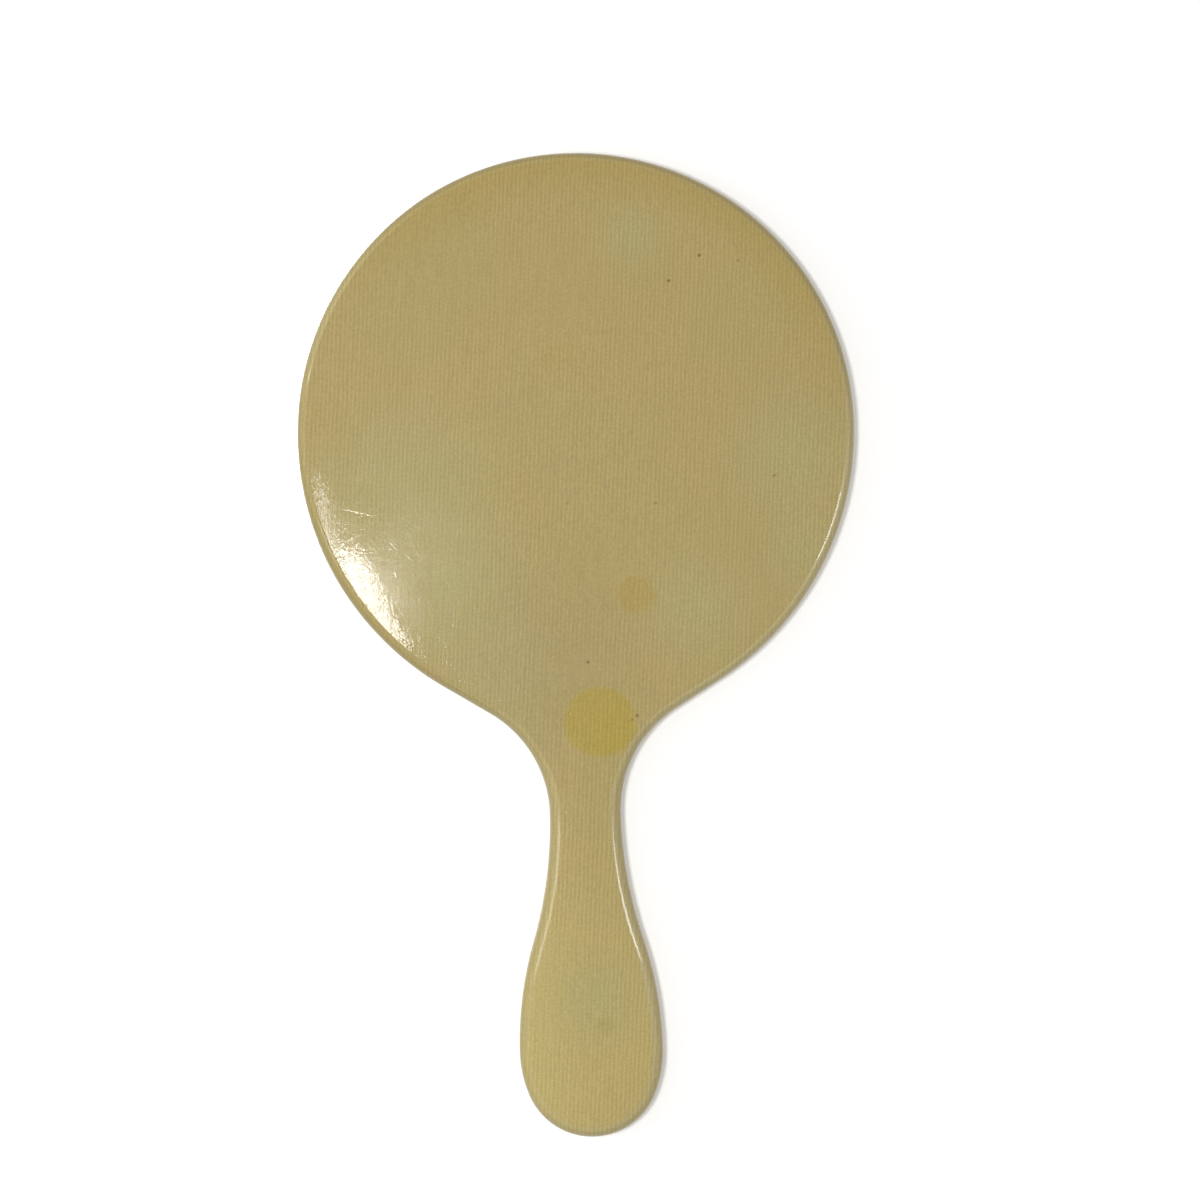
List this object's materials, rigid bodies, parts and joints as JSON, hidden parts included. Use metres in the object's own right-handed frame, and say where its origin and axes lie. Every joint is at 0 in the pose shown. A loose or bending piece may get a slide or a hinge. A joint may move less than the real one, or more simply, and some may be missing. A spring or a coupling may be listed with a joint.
{
  "type": "hand mirror",
  "caption": "Round hand mirror with a waisted paddle handle: bevelled glass held by a snap-in bead in a pressed frame of grained ivory-coloured celluloid",
  "frame": {"origin": "On the plane of the front rim, midway along the overall length and on the centre line", "axes": "+Z out of the back, +Y from the handle towards the top of the head, +X to the right seen from the back"},
  "size_m": [0.15, 0.2646, 0.011],
  "materials": {
    "grained_celluloid": "aged ivory celluloid with fine parallel grain lines, worn gloss, yellow stains and small pits",
    "plain_celluloid": "aged ivory celluloid, plain and glossy",
    "glass": "clear bevelled plate glass",
    "silver": "silvered, with slight ageing at the edge",
    "backing_paint": "red-brown backing paint",
    "packing_paper": "brown gummed paper",
    "card": "grey-brown strawboard",
    "felt": "pressed wool felt",
    "board": "thin three-ply board",
    "beech": "planed beech"
  },
  "bodies": {
    "root": {"back_shell": "grained_celluloid", "front_shell": "grained_celluloid", "bezel_bead": "plain_celluloid", "mirror_glass": "glass", "silver_coat": "silver", "backing_paint": "backing_paint", "packing_strip": "packing_paper", "backing_card": "card", "felt_cushion": "felt", "head_core": "board", "handle_core": "beech", "core_pegs": "beech"}
  },
  "joints": []
}
